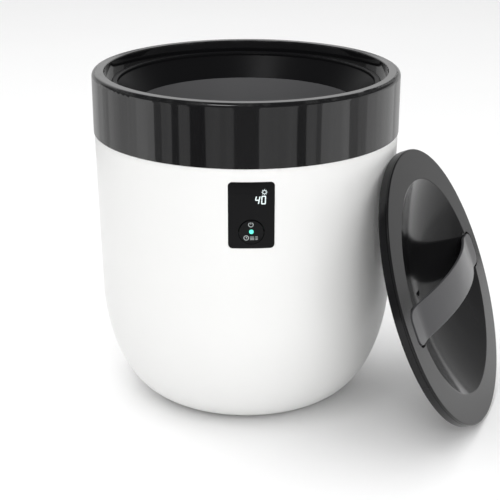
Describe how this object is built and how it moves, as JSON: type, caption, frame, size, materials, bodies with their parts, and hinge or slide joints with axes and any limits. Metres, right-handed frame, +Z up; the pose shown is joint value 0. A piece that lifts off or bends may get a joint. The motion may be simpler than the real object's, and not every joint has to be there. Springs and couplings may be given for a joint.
{
  "type": "towel warmer",
  "caption": "Electric bucket towel warmer: rounded white tub, dark collar and heated grey liner, small front control panel, with its dished round lid and strap handle leaning on the wall",
  "frame": {"origin": "on the resting surface, under the middle of the tub's four feet, on the tub's axis", "axes": "+Z up along the tub, -Y out of the control panel, +X to the right of someone facing the panel; the lid leans on the tub towards +X and a little -Y"},
  "size_m": [0.456, 0.3892, 0.365],
  "materials": {
    "shell_white": "satin gloss white",
    "collar_black": "polished black",
    "throat_black": "semi-gloss black",
    "lid_black": "polished charcoal",
    "handle_grey": "satin dark grey",
    "panel_black": "smoked gloss",
    "key_black": "gloss",
    "indicator": "teal lens",
    "display": "smoked glass",
    "liner_grey": "anodised",
    "silicone": "matt",
    "heater_silicone": "woven texture",
    "cast_heater": "as cast",
    "felt": "needled felt",
    "foam": "fine foam",
    "sheet_steel": "plain sheet",
    "screw_steel": "zinc plated",
    "base_black": "fine grain",
    "foot_rubber": "matt",
    "board_green": "solder mask",
    "relay_black": "moulded",
    "transformer_core": "ferrite with yellow tape",
    "capacitor_sleeve": "shrink sleeve",
    "terminal_grey": "moulded",
    "thermostat_body": "glazed body, steel cap",
    "fuse_case": "resin case",
    "probe_steel": "drawn can",
    "frame_black": "moulded",
    "switch_body": "moulded",
    "ribbon_grey": "ribbon",
    "gland_black": "matt",
    "nut_black": "moulded"
  },
  "bodies": {
    "tub": {"outer_shell": "shell_white", "collar": "collar_black", "throat_ring": "throat_black", "throat_screws": "screw_steel", "liner": "liner_grey", "liner_seal": "silicone", "liner_screws": "screw_steel", "wall_heater": "heater_silicone", "base_heater": "cast_heater", "wall_insulation": "felt", "base_insulation": "felt", "heat_shield": "sheet_steel", "shield_screws": "screw_steel", "thermostat": "thermostat_body", "thermal_fuse": "fuse_case", "temperature_sensor": "probe_steel", "base_plate": "base_black", "base_screws": "screw_steel", "foot_front_left": "foot_rubber", "foot_front_right": "foot_rubber", "foot_rear_left": "foot_rubber", "foot_rear_right": "foot_rubber", "power_board": "board_green", "power_board_screws": "screw_steel", "relay": "relay_black", "transformer": "transformer_core", "capacitor": "capacitor_sleeve", "terminal_block": "terminal_grey", "cord_gland": "gland_black", "gland_nut": "nut_black", "panel_fascia": "panel_black", "panel_frame": "frame_black", "display_module": "display", "control_board": "board_green", "control_board_screws": "screw_steel", "tact_switches": "switch_body", "light_pipe": "indicator", "panel_cable": "ribbon_grey"},
    "lid": {"lid_top": "lid_black", "lid_handle": "handle_grey", "handle_screws": "screw_steel", "lid_base": "lid_black", "lid_insulation": "foam", "lid_seal": "silicone", "lid_screws": "screw_steel"},
    "rocker": {"rocker_button": "key_black"}
  },
  "joints": [
    {"name": "lid_lift", "type": "slide", "parent": "tub", "child": "lid", "axis": [0.8663, -0.343, 0.3633], "range_m": [0, 0.3]},
    {"name": "rocker_tilt", "type": "hinge", "parent": "tub", "child": "rocker", "pos_m": [0, -0.15924, 0.2358], "axis": [1, 0, 0], "range_deg": [-2.5, 2.5], "stiffness_Nm_per_rad": 0.25}
  ]
}
